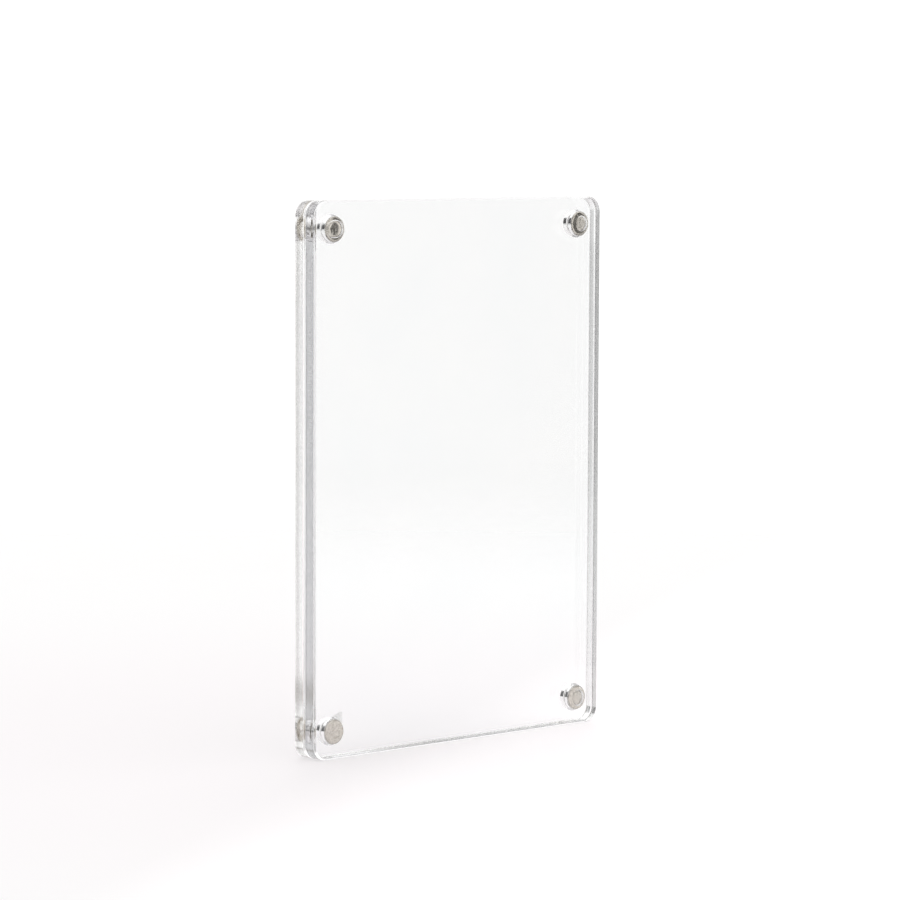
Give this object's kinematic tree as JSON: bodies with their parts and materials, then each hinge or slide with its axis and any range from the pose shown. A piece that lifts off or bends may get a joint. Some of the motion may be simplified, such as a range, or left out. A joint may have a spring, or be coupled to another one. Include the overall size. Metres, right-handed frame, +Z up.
{
  "type": "magnetic photo frame",
  "caption": "Clear acrylic block photo frame: two thick rounded plates held face to face by disc magnets set in their corners.",
  "frame": {"origin": "centre of the footprint, on the surface that the frame stands on (portrait)", "axes": "+Z up along the long side, +X to the right seen from the front, -Y towards the viewer; the plates meet on the plane y = 0"},
  "size_m": [0.127, 0.01, 0.1778],
  "materials": {
    "acrylic": "polished",
    "nickel": "polished",
    "adhesive": "gloss"
  },
  "bodies": {
    "back_half": {"back_panel": "acrylic", "back_magnet_top_left": "nickel", "back_magnet_top_right": "nickel", "back_magnet_bottom_left": "nickel", "back_magnet_bottom_right": "nickel", "back_adhesive_top_left": "adhesive", "back_adhesive_top_right": "adhesive", "back_adhesive_bottom_left": "adhesive", "back_adhesive_bottom_right": "adhesive"},
    "front_half": {"front_panel": "acrylic", "front_magnet_top_left": "nickel", "front_magnet_top_right": "nickel", "front_magnet_bottom_left": "nickel", "front_magnet_bottom_right": "nickel", "front_adhesive_top_left": "adhesive", "front_adhesive_top_right": "adhesive", "front_adhesive_bottom_left": "adhesive", "front_adhesive_bottom_right": "adhesive"}
  },
  "joints": [
    {"name": "front_pull_off", "type": "slide", "parent": "back_half", "child": "front_half", "axis": [0, -1, 0], "range_m": [0, 0.04]}
  ]
}
